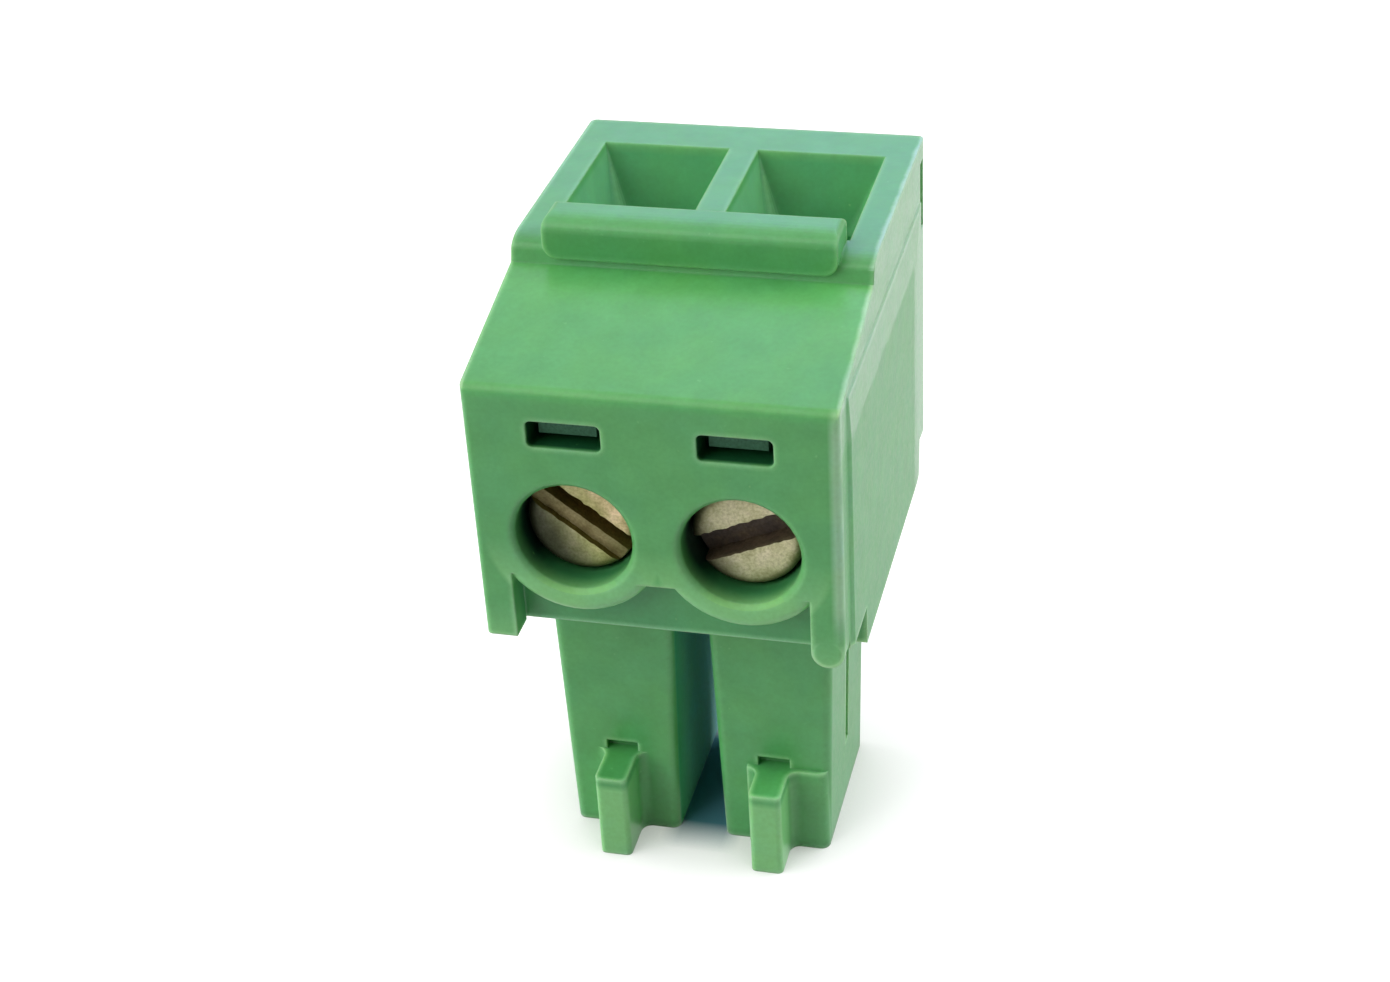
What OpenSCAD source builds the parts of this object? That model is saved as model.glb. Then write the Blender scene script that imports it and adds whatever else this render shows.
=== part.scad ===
// Two-pole pluggable terminal block plug with rising-cage screw clamps.
// It stands on its two contact legs, wire funnels up, screw face towards -Y.
// Depths are measured back from the screw face, heights up from the leg tips.

/* [Poles] */
// Distance between the two pole axes
pitch = 5.08; // [5.00:0.01:7.62]
// Housing wall beside each clamp chamber
side_wall = 0.93; // [0.70:0.01:1.40]
// Housing wall behind each clamp chamber
back_wall = 1.90; // [1.60:0.05:3.00]
// Play of a clamp cage in its chamber
slide_gap = 0.10; // [0.08:0.01:0.15]

/* [Clamp screw] */
// Depth of the screw head below the screw face
head_recess = 0.95; // [0.50:0.05:2.00]
// Radius of the screw head
head_r = 1.70; // [1.70:0.02:1.90]
// Height of the screw head
head_h = 1.40; // [1.10:0.05:2.00]
// Rounding of the head's front edge
head_round = 0.30; // [0.10:0.05:0.50]
// Width of the driver slot
slot_w = 1.00; // [0.60:0.05:1.20]
// Depth of the driver slot
slot_d = 0.75; // [0.40:0.05:0.90]
// Angle of the left driver slot, seen from the front
slot_turn_left = 37; // [-90:1:90]
// Angle of the right driver slot, seen from the front
slot_turn_right = -23; // [-90:1:90]
// Outer radius of the screw thread
shank_r = 1.50; // [1.25:0.05:1.50]
// Travel of the cage for one turn of the screw
thread_pitch = 0.50; // [0.35:0.05:0.70]
// Turns from open to closed
clamp_turns = 6; // [4:1:7]
// Play of the screw in the cage's thread
thread_gap = 0.05; // [0.03:0.01:0.08]
// Play of the head in its well
head_gap = 0.11; // [0.08:0.01:0.20]
// Thickness of the shoulder that the head sits on
seat_t = 0.70; // [0.40:0.05:1.00]

/* [Clamp cage] */
// Width of a clamp cage
cage_w = 4.00; // [3.70:0.05:4.30]
// Height of a clamp cage
cage_h = 4.80; // [4.40:0.05:5.40]
// Thickness of the cage's threaded wall
cage_front_t = 1.30; // [1.00:0.05:2.00]
// Thickness of the cage's clamping wall
cage_back_t = 0.80; // [0.60:0.05:1.20]
// Rounding of the cage's outer edges
cage_round = 0.35; // [0.10:0.05:0.50]
// Gap left for the wire with the clamp closed
closed_gap = 0.70; // [0.40:0.05:1.50]

/* [Contact] */
// Thickness of the contact strip
contact_t = 0.60; // [0.50:0.05:0.80]
// Room between the contact bar and each side of the cage
bar_side_gap = 0.35; // [0.20:0.05:0.45]
// Depth of the tab's end below the screw face
tab_recess = 0.50; // [0.20:0.05:1.00]
// Side of the square pin that the fork takes
pin_size = 1.00; // [0.80:0.05:1.20]
// Room around the contact in the housing
contact_gap = 0.10; // [0.05:0.01:0.15]
// Height of the fork's tips above the leg tips
fork_lift = 1.10; // [1.00:0.05:2.00]

/* [Housing heights] */
// Height of the legs below the body
leg_h = 8.40; // [7.50:0.05:10.00]
// Floor below the clamp chambers
floor_t = 2.42; // [2.30:0.02:3.50]
// Roof above the clamp chambers
roof_t = 4.42; // [4.20:0.02:6.00]
// Step from the sloping shoulder up to the top face
step_h = 0.70; // [0.50:0.05:0.90]
// Fall of the sloping shoulder towards the screw face
slope_drop = 1.29; // [0.80:0.01:1.40]
// Height of the front apron's edge above the body's underside
apron_lift = 1.32; // [0.80:0.02:1.60]
// Depth of the ledge along the lower back edge
ledge_d = 1.60; // [0.80:0.05:1.80]
// Height of the ledge along the lower back edge
ledge_h = 0.90; // [0.40:0.05:1.20]
// Depth of the rounding at the front edge of the top face
edge_d = 0.85; // [0.30:0.05:0.90]
// Height of the rounding at the front edge of the top face
edge_h = 0.38; // [0.10:0.02:0.44]
// Rounding of the bend between the screw face and the sloping shoulder
bend_round = 0.40; // [0.10:0.05:0.80]
// Rounding of the body's upright edges
upright_round = 0.20; // [0.05:0.05:0.30]

/* [Wire funnels] */
// Widening of a funnel on each side
flare_side = 0.57; // [0.40:0.01:0.65]
// Widening of a funnel towards the screw face
flare_front = 1.80; // [1.00:0.05:2.20]
// Widening of a funnel towards the back
flare_back = 1.15; // [0.60:0.05:1.40]
// Depth of the flared part
flare_h = 2.30; // [1.60:0.05:2.60]
// Wall between the contact bar and the funnel's neck
neck_lip = 0.50; // [0.40:0.05:0.80]
// Rounding of the neck's corners
neck_round = 0.60; // [0.20:0.05:0.90]

/* [Finger ridge] */
// Depth of the rounding at the front of the ridge
ridge_bow_d = 0.80; // [0.30:0.05:0.85]
// Height of the rounding at the front of the ridge
ridge_bow_h = 0.42; // [0.20:0.02:0.60]
// Height of the ridge above the top face
ridge_rise = 0.80; // [0.50:0.01:0.90]
// Distance of the ridge's ends from the body's sides
ridge_inset = 1.05; // [0.50:0.05:2.00]
// Distance that the ridge's nose hangs over the step
ridge_nose = 0.05; // [0.00:0.01:0.30]
// Rounding of the ridge's upper corners and back edge
ridge_round = 0.25; // [0.10:0.05:0.30]
// Rounding of the ridge's lower corners
ridge_low_round = 0.45; // [0.10:0.05:0.55]
// Height of the ridge's lower edge above the shoulder
ridge_lift = 0.20; // [0.05:0.01:0.40]
// Land between the step and the funnel mouths
top_land = 1.40; // [1.15:0.05:1.60]

/* [Screw face] */
// Width of the test slots
test_w = 2.25; // [1.80:0.05:2.60]
// Depth of the test slots' upper edge below the bend
test_drop = 0.95; // [0.80:0.05:1.00]
// Room below the tab in a test slot
test_room = 0.23; // [0.15:0.01:0.25]
// Rounding of the test slots' corners
test_round = 0.18; // [0.05:0.01:0.25]
// Wall of the boss around a screw well
boss_wall = 0.84; // [0.60:0.02:1.00]
// Rounding of the bosses' front edges
boss_round = 0.40; // [0.10:0.05:0.50]
// Depth of the recess below the bosses
recess_d = 0.92; // [0.50:0.02:1.20]
// Height of the recess above the apron's edge at the middle
recess_h = 2.20; // [1.60:0.05:2.40]
// Width of the front feet
foot_w = 1.00; // [0.80:0.05:1.30]
// Drop of the front feet below the apron's edge
foot_drop = 0.12; // [0.05:0.01:0.30]

/* [Legs] */
// Distance of the legs from the screw face
leg_front = 3.10; // [2.70:0.05:3.60]
// Depth of a leg
leg_d = 5.70; // [5.20:0.05:6.50]
// Wall of a leg beside the fork, at the tip
leg_wall = 0.47; // [0.30:0.01:0.60]
// Widening of a leg on each side towards the body
leg_draft = 0.22; // [0.00:0.01:0.30]
// Rounding of a leg's upright edges
leg_round = 0.30; // [0.10:0.05:0.50]
// Width of a coding rib
rib_w = 1.05; // [0.80:0.05:1.40]
// Distance that a coding rib stands out of its leg
rib_out = 1.62; // [1.00:0.02:2.00]
// Height of a coding rib
rib_h = 3.10; // [2.00:0.05:4.00]
// Radius of the fillets beside a coding rib
rib_fillet = 0.35; // [0.10:0.05:0.40]
// Thickness of the pad beside the right coding rib
pad_t = 0.15; // [0.10:0.01:0.30]
// Height of the core notch above a coding rib
rib_notch_h = 0.35; // [0.20:0.05:0.80]
// Thickness of the wall at a leg's tip
tip_wall = 0.90; // [0.60:0.05:1.00]
// Play around a plugged pin at a leg's tip
pin_gap = 0.25; // [0.15:0.01:0.35]

/* [Sides] */
// Height of the raised panel on each side
panel_rise = 0.10; // [0.05:0.01:0.15]
// Distance of the panel from the screw face
panel_front = 1.20; // [0.60:0.05:2.00]
// Width of the sloping border behind the panel
panel_back = 1.90; // [1.00:0.05:3.00]
// Depth of the panel's upper edge below the top face
panel_drop = 3.40; // [3.00:0.05:4.50]
// Height of the sloping border above the panel
panel_slope = 1.40; // [0.80:0.05:1.50]

/* [Hidden] */
$fn = 64;
// Overlap of cuts and joined bodies
eps = 0.05;
hull_fn = 32;
plastic = [0.30, 0.60, 0.36];
plated = [0.72, 0.68, 0.55];
steel = [0.66, 0.67, 0.69];
tinned = [0.74, 0.75, 0.74];

// Depths along the clamp, from the screw face back
travel = clamp_turns * thread_pitch;
seat_y = head_recess + head_h;
chamber_y0 = seat_y + seat_t;
cage_y0 = chamber_y0 + slide_gap + travel;
bar_gap = 0.15;
bar_y0 = cage_y0 + cage_front_t + bar_gap;
bar_y1 = bar_y0 + contact_t;
wire_y1 = bar_y1 + closed_gap + travel;
cage_y1 = wire_y1 + cage_back_t;
chamber_y1 = cage_y1 + slide_gap;
body_d = chamber_y1 + back_wall;
tip_gap = 0.05;

// Heights, from the leg tips up
chamber_h = cage_h + 2 * slide_gap;
chamber_z0 = leg_h + floor_t;
chamber_z1 = chamber_z0 + chamber_h;
screw_z = chamber_z0 + chamber_h / 2;
top_z = chamber_z1 + roof_t;
slope_z = top_z - step_h;
bend_z = slope_z - slope_drop;
apron_z = leg_h + apron_lift;

// Widths
chamber_w = cage_w + 2 * slide_gap;
cage_in_w = 2 * (shank_r + thread_gap);
bar_w = cage_in_w - 2 * bar_side_gap;
body_w = pitch + chamber_w + 2 * side_wall;
leg_tip_w = bar_w + 2 * contact_gap + 2 * leg_wall;

// Wire funnels
neck_y0 = bar_y1 + neck_lip;
neck_y1 = wire_y1 - slide_gap;
neck_w = cage_in_w - slide_gap;
mouth_y0 = neck_y0 - flare_front;
mouth_y1 = neck_y1 + flare_back;
mouth_w = neck_w + 2 * flare_side;
step_y = mouth_y0 - top_land;

// Screw wells and bosses
well_r = head_r + head_gap;
boss_r = well_r + boss_wall;
rim_w = 0.14;

// Backward lean of the step up to the top face
step_lean = 0.10;

// Number of steps along a rounded outline
bow_steps = 8;

// Slant of the ledge along the lower back edge
ledge_rise = 0.35;
ledge_lean = 0.25;

// Test slots and the contact's tab
tab_gap = 0.05;
test_z1 = bend_z - test_drop;
tab_z1 = test_z1 - tab_gap;
tab_z0 = tab_z1 - contact_t;
test_z0 = tab_z0 - test_room;
tab_side_gap = 0.25;
tab_w = test_w - 2 * tab_side_gap;

// Contact legs and forks
pin_y = leg_front + leg_d / 2;
fork_y0 = pin_y - contact_t / 2;
joggle_low = 0.20;
joggle_high = 0.50;
joggle_z0 = leg_h + joggle_low;
joggle_z1 = chamber_z0 - joggle_high;
fork_play = 0.20;
fork_lead = 0.25;
fork_pinch = 0.07;
pinch_rise = 0.90;
waist_rise = 1.30;
root_drop = 1.40;
fork_room = pin_size / 2 + fork_play;
rib_round = 0.18;

// Lean of the side panel's front edge, and the step at the top of its upper border
front_lean = 0.15;
border_step = panel_rise / 2;

// Key slot high on the right side, near the back edge
key_y0 = 0.80;
key_y1 = 0.30;
key_z0 = 3.00;
key_z1 = 0.65;
key_d = 0.18;

// Tapered groove on the right leg's outer side
groove_w = 0.45;
groove_top_d = 0.40;
groove_low_d = 0.10;
groove_z = 2.30;

// Fall of the shoulder for each millimetre of depth
shoulder_fall = slope_drop / step_y;

// Place that puts depth 0 on the screw face of a body centred on the origin
module from_face() {
    translate([0, -body_d / 2, 0]) children();
}

// Draws an outline of [depth, height] across the width
module across(width) {
    rotate([90, 0, 90]) linear_extrude(width, center = true) children();
}

// Draws an outline of [width, height] back from the screw face
module backwards(depth) {
    rotate([90, 0, 0]) mirror([0, 0, 1]) linear_extrude(depth) children();
}

// Box given by its limits in width, depth and height
module box(x, y, z) {
    translate([x[0], y[0], z[0]]) cube([x[1] - x[0], y[1] - y[0], z[1] - z[0]]);
}

// Box centred on a pole, given by its width and its limits in depth and height
module pole_box(width, y, z) {
    box([-width / 2, width / 2], y, z);
}

// Rectangle with round corners, centred
module round_rect(w, h, r) {
    square([w - 2 * r, h], center = true);
    square([w, h - 2 * r], center = true);
    for (x = [-1, 1], y = [-1, 1]) {
        translate([x * (w / 2 - r), y * (h / 2 - r)]) circle(r);
    }
}

// Points along part of an oval
function oval(cx, cy, rx, ry, a0, a1) = [
    for (i = [0:bow_steps]) let (a = a0 + (a1 - a0) * i / bow_steps) [cx + rx * cos(a), cy + ry * sin(a)]
];

// Points of an arc
function arc(cx, cy, r, a0, a1) = oval(cx, cy, r, r, a0, a1);

module each_pole() {
    for (side = [-1, 1]) translate([side * pitch / 2, 0, 0]) children();
}

// Side outline of the body: apron, screw face, slope, step, top, back and ledge
module body_outline() {
    round_z = bend_z + bend_round * (shoulder_fall - sqrt(1 + shoulder_fall * shoulder_fall));
    polygon(concat(
        [[0, apron_z]],
        arc(bend_round, round_z, bend_round, 180, 90 + atan(shoulder_fall)),
        [[step_y, slope_z]],
        oval(step_y + step_lean + edge_d, top_z - edge_h, edge_d, edge_h, 180, 90),
        [[body_d, top_z], [body_d, leg_h + ledge_h]],
        [[body_d - ledge_d + ledge_lean, leg_h + ledge_h + ledge_rise], [body_d - ledge_d, leg_h]],
        [[leg_front, leg_h], [leg_front, apron_z]]
    ));
}

// Body and feet with rounded upright edges
module body() {
    intersection() {
        union() {
            across(body_w) body_outline();
            feet();
        }
        translate([0, body_d / 2, leg_h - eps])
            linear_extrude(top_z - leg_h + 2 * eps) round_rect(body_w, body_d, upright_round);
    }
}

// Front outline of the ridge, with its lower corners rounded more than its upper ones
module ridge_front(length, low, high) {
    right = length / 2;
    polygon(concat(
        arc(right - ridge_round, high - ridge_round, ridge_round, 0, 90),
        arc(ridge_round - right, high - ridge_round, ridge_round, 90, 180),
        arc(ridge_low_round - right, low + ridge_low_round, ridge_low_round, 180, 270),
        arc(right - ridge_low_round, low + ridge_low_round, ridge_low_round, 270, 360)
    ));
}

// Ridge along the front of the top face, bowed at the front and flush with the funnel mouths
module ridge() {
    length = body_w - 2 * ridge_inset;
    high = top_z + ridge_rise;
    low = slope_z + ridge_lift;
    nose_y = step_y - ridge_nose;
    intersection() {
        across(length) polygon(concat(
            [[nose_y, low]],
            oval(nose_y + ridge_bow_d, high - ridge_bow_h, ridge_bow_d, ridge_bow_h, 180, 90),
            arc(mouth_y0 - ridge_round, high - ridge_round, ridge_round, 90, 0),
            [[mouth_y0, low]]
        ));
        translate([0, nose_y - eps, 0])
            backwards(mouth_y0 - nose_y + 2 * eps) ridge_front(length, low, high);
    }
}

// Feet at the front corners: the left one ends square, the right one round
module feet() {
    z0 = apron_z - foot_drop;
    left = -body_w / 2;
    box([left, left + foot_w], [0, recess_d], [z0, apron_z + eps]);
    translate([body_w / 2 - foot_w / 2, 0, z0 + foot_w / 2]) backwards(recess_d) circle(foot_w / 2);
}

// Boss around a screw well, with a rounded front edge
module boss() {
    translate([0, 0, screw_z]) rotate([-90, 0, 0]) rotate_extrude() polygon(concat(
        [[0, 0]],
        arc(boss_r - boss_round, boss_round, boss_round, -90, 0),
        [[boss_r, recess_d + eps], [0, recess_d + eps]]
    ));
}

// Recess below the bosses, between the feet
module front_recess() {
    inner = body_w / 2 - foot_w;
    difference() {
        box([-inner, inner], [-eps, recess_d], [apron_z - foot_drop - eps, apron_z + recess_h]);
        each_pole() boss();
    }
}

// Room around the round end of the right foot
module foot_corners() {
    z1 = apron_z - foot_drop + foot_w / 2;
    translate([body_w / 2 - foot_w / 2, -eps, 0]) backwards(recess_d + eps) difference() {
        translate([-foot_w / 2, z1 - foot_w]) square([foot_w + eps, foot_w]);
        translate([0, z1]) circle(foot_w / 2);
    }
}

// Tapered leg with round upright edges
module leg() {
    root_w = leg_tip_w + 2 * leg_draft;
    translate([0, pin_y, 0]) hull() {
        linear_extrude(eps) round_rect(leg_tip_w, leg_d, leg_round, $fn = hull_fn);
        translate([0, 0, leg_h]) linear_extrude(eps) round_rect(root_w, leg_d, leg_round, $fn = hull_fn);
    }
}

// Coding rib at the front of a leg, with a rounded front end and fillets at its root
module rib(root_y) {
    depth = rib_out + leg_round;
    linear_extrude(rib_h) {
        translate([0, leg_front - rib_out + depth / 2]) round_rect(rib_w, depth, rib_round);
        translate([-rib_w / 2, root_y - rib_fillet]) square([rib_w, rib_fillet + leg_round]);
        difference() {
            translate([-rib_w / 2 - rib_fillet, root_y - rib_fillet])
                square([rib_w + 2 * rib_fillet, rib_fillet + leg_round]);
            for (side = [-1, 1]) {
                translate([side * (rib_w / 2 + rib_fillet), root_y - rib_fillet]) circle(rib_fillet);
            }
        }
    }
}

// Thin pad between the right rib and the leg's outer edge
module pad() {
    edge = leg_tip_w / 2 - leg_round;
    linear_extrude(rib_h) {
        translate([0, leg_front - pad_t]) square([edge, pad_t + leg_round]);
        translate([edge, leg_front - pad_t + leg_round]) circle(leg_round);
    }
}

// Screw well, shoulder hole and clamp chamber of one pole
module clamp_room() {
    translate([0, 0, screw_z]) rotate([-90, 0, 0]) {
        translate([0, 0, -eps]) cylinder(r = well_r, h = seat_y + eps);
        cylinder(r = shank_r + slide_gap, h = chamber_y0 + eps);
        translate([0, 0, -eps]) cylinder(r1 = well_r + rim_w + eps, r2 = well_r, h = rim_w + eps);
    }
    pole_box(chamber_w, [chamber_y0, chamber_y1], [chamber_z0, chamber_z1]);
}

// Flared funnel that narrows to a round-cornered neck
module funnel() {
    neck_d = neck_y1 - neck_y0;
    flare_z = top_z - flare_h;
    hull() {
        pole_box(mouth_w, [mouth_y0, mouth_y1], [top_z, top_z + eps]);
        translate([0, neck_y0 + neck_d / 2, flare_z])
            linear_extrude(eps) round_rect(neck_w, neck_d, neck_round, $fn = hull_fn);
    }
    translate([0, neck_y0 + neck_d / 2, chamber_z1 - eps])
        linear_extrude(flare_z - chamber_z1 + 2 * eps) round_rect(neck_w, neck_d, neck_round);
}

// Test slot and the room for the contact strip behind it
module contact_room() {
    room_w = bar_w + 2 * contact_gap;
    test_h = test_z1 - test_z0;
    translate([0, -eps, test_z0 + test_h / 2])
        backwards(bar_y1 + contact_gap + eps) round_rect(test_w, test_h, test_round);
    pole_box(room_w, [bar_y0 - contact_gap, bar_y1 + contact_gap], [chamber_z1 - eps, test_z1]);
    pole_box(room_w, [pin_y - fork_room, bar_y1 + contact_gap], [joggle_z0 - contact_t, chamber_z0 + eps]);
    pole_box(room_w, [pin_y - fork_room, pin_y + fork_room], [tip_wall, joggle_z0]);
    pin_room();
}

// Square hole with a lead-in for the header's pin, in the tip of a leg
module pin_room() {
    hole = pin_size + 2 * pin_gap;
    mouth = hole + 2 * pin_gap;
    pole_box(hole, [pin_y - hole / 2, pin_y + hole / 2], [-eps, tip_wall + eps]);
    hull() {
        pole_box(mouth, [pin_y - mouth / 2, pin_y + mouth / 2], [-eps, 0]);
        pole_box(hole, [pin_y - hole / 2, pin_y + hole / 2], [pin_gap, pin_gap + eps]);
    }
}

// Core notch above a coding rib
module rib_notch() {
    pole_box(rib_w, [leg_front - eps, leg_front + leg_round], [rib_h, rib_h + rib_notch_h]);
}

// Raised panel on a side, with sloping borders in front of it, behind it and above it
module side_panel() {
    side = body_w / 2;
    out = side + panel_rise;
    front = panel_front - front_lean;
    back = body_d - upright_round;
    panel_z = top_z - panel_drop;
    border_z = panel_z + panel_slope;
    low_z = leg_h - eps;
    intersection() {
        across(2 * out) body_outline();
        translate([0, 0, low_z]) linear_extrude(border_z + border_step - low_z) polygon([
            [0, front], [side, front], [out, panel_front], [out, back - panel_back], [side, back], [0, back]
        ]);
        backwards(body_d) polygon([
            [0, low_z], [out, low_z], [out, panel_z], [side + border_step, border_z],
            [side, border_z + border_step], [0, border_z + border_step]
        ]);
    }
}

// Key slot high on the right side, near the back edge
module key_slot() {
    box(
        [body_w / 2 - key_d, body_w / 2 + eps],
        [body_d - key_y0, body_d - key_y1],
        [top_z - key_z0, top_z - key_z1]
    );
}

// Upright groove on the outer side of the right leg, deeper towards the body
module leg_groove() {
    tip_x = pitch / 2 + leg_tip_w / 2;
    root_x = tip_x + leg_draft;
    translate([0, pin_y - groove_w / 2, 0]) backwards(groove_w) polygon([
        [tip_x - groove_low_d, groove_z], [root_x + eps, groove_z],
        [root_x + eps, leg_h], [root_x - groove_top_d, leg_h]
    ]);
}

module housing() {
    color(plastic) from_face() difference() {
        union() {
            body();
            for (side = [0, 1]) mirror([side, 0, 0]) side_panel();
            ridge();
            each_pole() leg();
            translate([-pitch / 2, 0, 0]) rib(leg_front);
            translate([pitch / 2, 0, 0]) {
                rib(leg_front - pad_t);
                pad();
            }
        }
        front_recess();
        foot_corners();
        key_slot();
        leg_groove();
        each_pole() {
            clamp_room();
            funnel();
            contact_room();
            rib_notch();
        }
    }
}

// Slotted cheese-head screw on a pole's axis, head towards the screw face
module screw(side, turn) {
    tip = bar_y0 - tip_gap;
    point = 0.4;
    color(plated) from_face() translate([side * pitch / 2, 0, screw_z]) rotate([-90, turn, 0]) difference() {
        rotate_extrude() polygon(concat(
            [[0, head_recess]],
            arc(head_r - head_round, head_recess + head_round, head_round, -90, 0),
            [[head_r, seat_y], [shank_r, seat_y], [shank_r, tip - point], [shank_r - point, tip], [0, tip]]
        ));
        translate([-head_r - eps, -slot_w / 2, head_recess - eps])
            cube([2 * (head_r + eps), slot_w, slot_d + eps]);
    }
}

module screw_left() {
    screw(-1, slot_turn_left);
}

module screw_right() {
    screw(1, slot_turn_right);
}

// Folded cage with a threaded front wall and grip grooves on the clamping wall
module cage(side) {
    depth = cage_y1 - cage_y0;
    grip_r = 0.18;
    grips = 3;
    grip_step = cage_h / (grips + 1);
    color(steel) from_face() translate([side * pitch / 2, 0, 0]) difference() {
        translate([0, cage_y0 + depth / 2, screw_z - cage_h / 2])
            linear_extrude(cage_h) round_rect(cage_w, depth, cage_round);
        pole_box(cage_in_w, [cage_y0 + cage_front_t, wire_y1], [chamber_z0, chamber_z1]);
        translate([0, cage_y0 - eps, screw_z]) rotate([-90, 0, 0])
            cylinder(r = shank_r + thread_gap, h = cage_front_t + 2 * eps);
        for (i = [1:grips]) {
            translate([-cage_in_w / 2, wire_y1, screw_z - cage_h / 2 + i * grip_step])
                rotate([0, 90, 0]) cylinder(r = grip_r, h = cage_in_w, $fn = 24);
        }
    }
}

module cage_left() {
    cage(-1);
}

module cage_right() {
    cage(1);
}

// Side outline of the contact strip: bar, joggle and fork
module strip_outline() {
    offset_y = bar_y0 - fork_y0;
    lean = atan2(offset_y, joggle_z1 - joggle_z0);
    mitre = contact_t / 2 * tan(lean / 2);
    polygon([
        [bar_y0, tab_z1], [bar_y1, tab_z1],
        [bar_y1, joggle_z1 - mitre], [fork_y0 + contact_t, joggle_z0 - mitre],
        [fork_y0 + contact_t, fork_lift], [fork_y0, fork_lift],
        [fork_y0, joggle_z0 + mitre], [bar_y0, joggle_z1 + mitre]
    ]);
}

// Gap between the fork's tines: lead-in, pinch, waist and round root
module fork_gap() {
    lead = pin_size / 2 + fork_lead;
    pinch = pin_size / 2 - fork_pinch;
    waist = pin_size / 2 + fork_pinch;
    pinch_z = fork_lift + pinch_rise;
    waist_z = pinch_z + waist_rise;
    root_z = leg_h - root_drop;
    for (side = [0, 1]) mirror([side, 0]) polygon([
        [0, fork_lift - eps], [lead, fork_lift - eps], [pinch, pinch_z], [waist, waist_z], [waist, root_z],
        [0, root_z]
    ]);
    translate([0, root_z]) circle(waist);
}

// Contact strip with its test tab, clamping bar, joggle and fork
module contact(side) {
    color(tinned) from_face() translate([side * pitch / 2, 0, 0]) {
        pole_box(tab_w, [tab_recess, bar_y0 + contact_t / 2], [tab_z0, tab_z1]);
        difference() {
            across(bar_w) strip_outline();
            translate([0, fork_y0 - eps, 0]) backwards(contact_t + 2 * eps) fork_gap();
        }
    }
}

module contact_left() {
    contact(-1);
}

module contact_right() {
    contact(1);
}

housing();
screw_left();
screw_right();
cage_left();
cage_right();
contact_left();
contact_right();
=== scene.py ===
import math
import random

import bmesh
import bpy
from mathutils import Matrix, Vector


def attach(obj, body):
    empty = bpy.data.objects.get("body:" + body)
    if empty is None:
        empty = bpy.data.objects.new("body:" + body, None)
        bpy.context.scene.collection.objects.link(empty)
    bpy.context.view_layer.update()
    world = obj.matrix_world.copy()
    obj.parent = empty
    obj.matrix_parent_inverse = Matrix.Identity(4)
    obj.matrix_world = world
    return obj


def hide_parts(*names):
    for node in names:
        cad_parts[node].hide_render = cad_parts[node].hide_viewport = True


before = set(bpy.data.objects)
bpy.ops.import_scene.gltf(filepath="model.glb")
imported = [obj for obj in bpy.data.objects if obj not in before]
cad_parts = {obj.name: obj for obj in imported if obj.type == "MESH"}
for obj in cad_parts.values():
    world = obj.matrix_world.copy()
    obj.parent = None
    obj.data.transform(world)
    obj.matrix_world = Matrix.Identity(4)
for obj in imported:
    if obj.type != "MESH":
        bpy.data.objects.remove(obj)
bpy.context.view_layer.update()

MM = 0.001
WHITE = (1.0, 1.0, 1.0, 1.0)
BLACK = (0.0, 0.0, 0.0, 1.0)

# Sockets of a mix node that mixes colours
MIX_SHARE = 0
MIX_FIRST = 6
MIX_SECOND = 7
MIX_RESULT = 2

# The photo's camera; its place and its clipping are in millimetres in the part's frame
CAMERA_PLACE = (16.9796, -63.4421, 51.7212)
CAMERA_RIGHT = (0.969939, 0.237940, -0.051017)
CAMERA_UP = (-0.084172, 0.524746, 0.847087)
CAMERA_LENS = 61.979
CAMERA_SENSOR = 36.0
CAMERA_CLIP = (1.0, 10000.0)

# Lamps and surround, in millimetres in the part's frame
LAMP_SIZE = 400.0
LAMP_AIM = (0.0, 0.0, 12.0)
WHITE_LIGHT = (1.0, 1.0, 1.0)
COOL_LIGHT = (0.94, 0.95, 1.0)
BLUE_LIGHT = (0.25, 0.40, 1.0)
ROOM_COLOUR = (0.94, 0.97, 1.0, 1.0)
ROOM_LEVEL = 0.02

# Places on the housing, in millimetres in the part's frame; FAR lies past every end of it
FAR = 50.0
FACE_Y = -7.35
POLES = {"left": -2.54, "right": 2.54}
SCREW_Z = 13.32
WELL_R = 1.95
LEG_FRONT = -4.25
LEG_BACK = 1.45
LEG_TOP = 8.40
LEG_GAP = 0.79
LEG_LEAN = 0.22 / LEG_TOP
RIB_TOP = 2.75
TEST_SLOT = (16.36, 17.36)
TEST_HALF = 1.185
TAB_LOW = 15.60
SLOPE_TOP = 19.54
SLOPE_BACK = -2.0
SIDE_X = 5.47
SIDE_BAND = 16.84
SIDE_BEAD = 18.27
SIDE_BACK = 4.75
SIDE_FRONT = (-6.30, -6.15)
FOOT_AXIS = (5.07, 10.10)
FOOT_R = 0.50
FOOT_INNER = 4.60
FUNNEL_X = (0.4, 4.75)
FUNNEL_Y = (-1.5, 6.6)
FUNNEL_Z = (14.0, 20.05)

# Zones of the housing's look, in millimetres; depths run back from the screw face
RIB_ROOT = LEG_FRONT - 0.3
FEET_X = 4.5
FEET_Z = (7.0, 10.4)
FEET_DEPTH = 0.6
RIM_RING = (1.70, 2.75)
RIM_Z = (10.0, SCREW_Z - 0.9)
RIM_DEPTH = 0.45
LIP_RING = (1.6, 2.2)
EDGE_REACH = 0.20
EDGE_HIGHLIGHT_Z = (10.2, 11.2)
FOOT_EDGE = 0.10
FOOT_EDGE_Z = (9.0, 10.3)
FOOT_EDGE_DEPTH = 0.3
WELL_LEFT = 1.0
WELL_DEPTH = (0.50, 4.0)
RECESS_Z = (9.0, 12.4)
RECESS_DEPTH = (0.50, 1.10)
TEST_DEPTH = (0.12, 3.0)
RAGGED_SIZE = 0.8
RAGGED_SHIFT = 0.35
BEAD_HALF = 0.12
CORNER_X = 5.3
CORNER_Z = (11.0, 18.2)
CORNER_DEPTH = 0.22
LEG_SHADE_TOP = 0.10
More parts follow.
